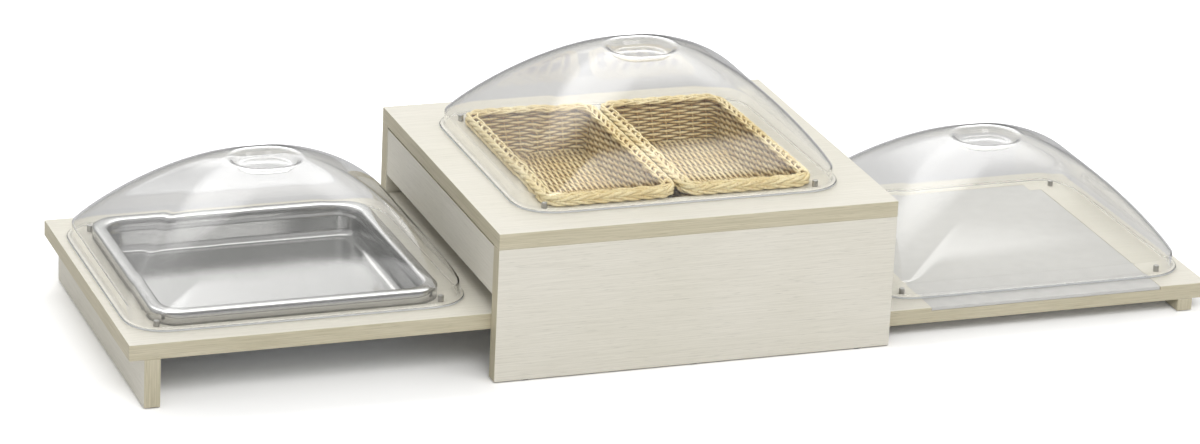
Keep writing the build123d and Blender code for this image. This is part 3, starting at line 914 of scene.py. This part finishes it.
finish, tree, output = blank_finish("natural_cane")
patches = stretched_noise(tree, patch_scale, 3.0)
fibres = stretched_noise(tree, (fibre_scale,) * 3, 3.0)
colour = blend_colours(tree, ramp(tree, patches, 0.32, 0.68), *straw_tones)
colour = blend_colours(tree, ramp(tree, fibres, 0.5, 0.8), colour, fibre_tone)
# Painted shade: the closer a point lies to the weave's middle, the more its colour turns dark
# brown
painted_shade_amount = add(tree, "Attribute", {"attribute_name": "painted_shade_amount"}).outputs["Fac"]
colour = blend_colours(tree, painted_shade_amount, colour, painted_gap_shade_tone)
relief = add(tree, "Bump", Strength=0.4, Distance=fibre_depth, Height=fibres)
cane_surface = add(tree, "BsdfPrincipled", Base_Color=colour, Roughness=0.5,
                   Normal=relief.outputs["Normal"])
feed(tree, output.inputs["Surface"], cane_surface.outputs[0])
natural_cane = finish


def shade_gaps(mesh, distance):
    """Note how deep each point lies in the weave, for the painted shade in the cane's gaps."""
    full, none = painted_shade_reach
    depths = [(none - abs(distance(vert.co))) / (none - full) for vert in mesh.vertices]
    depth = mesh.attributes.new("painted_shade_amount", "FLOAT", "POINT")
    depth.data.foreach_set("value", [min(1.0, max(0.0, value)) for value in depths])
    return mesh


def off_outline(place, size):
    """How far a place lies outside a rounded rectangle."""
    width, depth, radius = size
    x, y = abs(place[0]) - width / 2 + radius, abs(place[1]) - depth / 2 + radius
    return math.hypot(max(x, 0), max(y, 0)) + min(max(x, y), 0) - radius


print("cane finish:", natural_cane.name)

# %% [markdown]
# Upright stakes stand round the sides, and weavers run round them, in front of one stake
# and behind the next, each row opposite to the row below. The number of stakes is even, so
# that the rows meet themselves in step. The walls draw in a little towards the floor.

# %% Woven walls
stake_pitch = 0.0195
weaver_pitch = 0.0035
weaver_radius = 0.0018
stake_radius = 0.0016
weave_swing = 0.0013
wall_thickness = 0.006
basket_draft = math.tan(math.radians(7))
least_corner = 0.012
steps_a_stake = 8
stake_foot, stake_head = 0.002, 0.004  # below the floor, and below the top of the wall


def weave_walls(canes, centre, width, depth, corner, rim_top, floor_top):
    """Lay stakes and weavers between floor and rim, and return the wall's middle line."""
    stakes = 2 * round(girth(width, depth, corner) / stake_pitch / 2)
    rows = int((rim_top - floor_top) / weaver_pitch)

    def plan(height):
        """The wall's middle line at a height, drawn in towards the floor."""
        inset = (rim_top - height) * basket_draft + wall_thickness / 2
        return width - 2 * inset, depth - 2 * inset, max(corner - inset, least_corner)

    for row in range(rows):
        height = floor_top + (row + 0.5) * weaver_pitch
        size = plan(height)
        length = girth(*size)
        points = []
        for index in range(stakes * steps_a_stake):
            place, out = walk(*size, length * index / (stakes * steps_a_stake))
            place += out * weave_swing * math.cos(math.pi * (index / steps_a_stake + row))
            points.append((centre + place.x, place.y, height))
        canes.lay(points, weaver_radius, closed=True)
    for stake in range(stakes):
        points = []
        middle = (floor_top + rim_top) / 2
        for height in (floor_top - stake_foot, middle, rim_top - stake_head):
            size = plan(height)
            place, out = walk(*size, girth(*size) * stake / stakes)
            points.append((centre + place.x, place.y, height))
        canes.lay(points, stake_radius)
    return stakes, rows, plan


print("weavers", weaver_pitch, "m apart, stakes", stake_pitch, "m apart")

# %% [markdown]
# The floor is woven alike, from ribs along the short way and long strands that pass over
# one rib and under the next. Near the corners the strands are shorter, so that their ends
# follow the basket's rounded plan.

# %% Woven floor
rib_pitch = 0.0250
floor_margin = 0.002
steps_a_rib = 6


def weave_floor(canes, centre, width, depth, corner, level):
    ribs = round(depth / rib_pitch)
    strands = int((width - 2 * floor_margin) / weaver_pitch)
    left, right = centre - width / 2 + floor_margin, centre + width / 2 - floor_margin
    for index in range(ribs):
        y = depth * ((index + 0.5) / ribs - 0.5)
        canes.lay([(left, y, level), (right, y, level)], stake_radius)
    for strand in range(strands):
        x = (strand + 0.5 - strands / 2) * weaver_pitch
        corner_x = max(0.0, abs(x) - (width / 2 - corner))
        reach = depth / 2 - corner + math.sqrt(corner ** 2 - min(corner_x, corner) ** 2)
        steps = ribs * steps_a_rib
        points = []
        for index in range(steps + 1):
            y = (2 * index / steps - 1) * reach
            phase = math.pi * ((y / depth + 0.5) * ribs - 0.5 + strand)
            points.append((centre + x, y, level + weave_swing * math.cos(phase)))
        canes.lay(points, weaver_radius)
    return ribs, strands


print("ribs", rib_pitch, "m apart")

# %% [markdown]
# The rim is wound, not woven: an outer rope, a lower one twisted the other way, a thin
# inner one, and slanted links across the top with small dark gaps between them. A rope is
# a few strands that circle one line, each a step behind the last.

# %% Braided rim
rope_step = 0.0035
rope_spread = 1.05  # how far from the rope's line a strand runs, in strand radii
ropes = (  # inset, drop below the top, strands, strand radius, and the way it winds
    (0.0046, 0.0045, 3, 0.0021, 1),
    (0.0046, 0.0098, 3, 0.0020, -1),
    (0.0146, 0.0034, 2, 0.0014, 1),
)
rim_links = 54
link_inset, link_reach = 0.0150, 0.0092  # where a link starts, and how far out it goes
link_drop, link_rise = 0.0048, 0.003
link_radius = 0.0018
link_lead = 0.5  # how far a link runs ahead, in links
link_bow = 0.8  # share of a half wave that it makes in height


def ring_at(size, inset):
    return size[0] - 2 * inset, size[1] - 2 * inset, size[2] - inset


def twist(canes, centre, size, inset, height, strands, strand_radius, turns, lean):
    """Strands that wind round a line near the rim like a rope."""
    line = ring_at(size, inset)
    length = girth(*line)
    steps = int(length / rope_step)
    spread = strand_radius * rope_spread
    for strand in range(strands):
        points = []
        for index in range(steps):
            place, out = walk(*line, length * index / steps)
            angle = lean * 2 * math.pi * (turns * index / steps + strand / strands)
            place += out * spread * math.cos(angle)
            points.append((centre + place.x, place.y, height + spread * math.sin(angle)))
        canes.lay(points, strand_radius, closed=True)


def braid_rim(canes, centre, size, top, turns):
    for inset, drop, strands, strand_radius, lean in ropes:
        twist(canes, centre, size, inset, top - drop, strands, strand_radius, turns, lean)
    for link in range(rim_links):
        points = []
        for share in (0, 0.25, 0.5, 0.75, 1):
            line = ring_at(size, link_inset - link_reach * share)
            place, out = walk(*line, girth(*line) * (link + link_lead * share) / rim_links)
            height = top - link_drop + link_rise * math.sin(math.pi * share * link_bow)
            points.append((centre + place.x, place.y, height))
        canes.lay(points, link_radius)


print("each rim has", len(ropes), "ropes and", rim_links, "links")

# %% [markdown]
# Each basket is three meshes, the walls, the floor and the rim, that ride on one body. The
# rim reaches past the walls, and the floor a little into them, so that no gap shows. The
# walls under the rim are always in its shade, and are darkened fully.

# %% Baskets
basket_corner = 0.026
rim_overhang = 0.005
wall_top_drop = 0.003
shade_under_rim = 0.008
floor_tuck = 0.004
wall_foot = 0.001  # how far the walls start below the floor's middle

for name in ("left_basket", "right_basket"):
    low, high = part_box(name)
    centre = (low.x + high.x) / 2
    width, depth = high.x - low.x, high.y - low.y
    body_width, body_depth = width - 2 * rim_overhang, depth - 2 * rim_overhang
    body_corner = basket_corner - rim_overhang
    floor_level = low.z + wall_thickness / 2
    draw = (high.z - floor_level) * basket_draft + wall_thickness / 2
    walls = Canes(f"{name}_walls")
    stakes, rows, plan = weave_walls(walls, centre, body_width, body_depth, body_corner,
                                     high.z - wall_top_drop, floor_level - wall_foot)

    def off_middle(place):
        """The distance from the wall's middle, or none under the rim, where it is dark."""
        if place.z >= high.z - shade_under_rim:
            return 0.0
        return off_outline((place.x - centre, place.y), plan(place.z))

    # Painted shade on the walls: points near the wall's middle, and all under the rim, are painted
    # dark brown
    woven = shade_gaps(walls.mesh(), off_middle)
    piece(f"{name}_walls", woven, name, "wicker", natural_cane, replaces=(name,))
    base = Canes(f"{name}_floor")
    ribs, strands = weave_floor(base, centre, body_width - 2 * draw + floor_tuck,
                                body_depth - 2 * draw + floor_tuck, body_corner, floor_level)
    # Painted shade on the floor: points near its middle level are painted dark brown, the strands'
    # tops stay light
    woven = shade_gaps(base.mesh(), lambda place: place.z - floor_level)
    piece(f"{name}_floor", woven, name, "wicker", natural_cane)
    rim = Canes(f"{name}_rim")
    braid_rim(rim, centre, (width, depth, basket_corner), high.z, stakes // 3)
    piece(f"{name}_rim", rim.mesh(), name, "wicker", natural_cane)
    print(name, "stakes", stakes, "rows", rows, "ribs", ribs, "strands", strands)
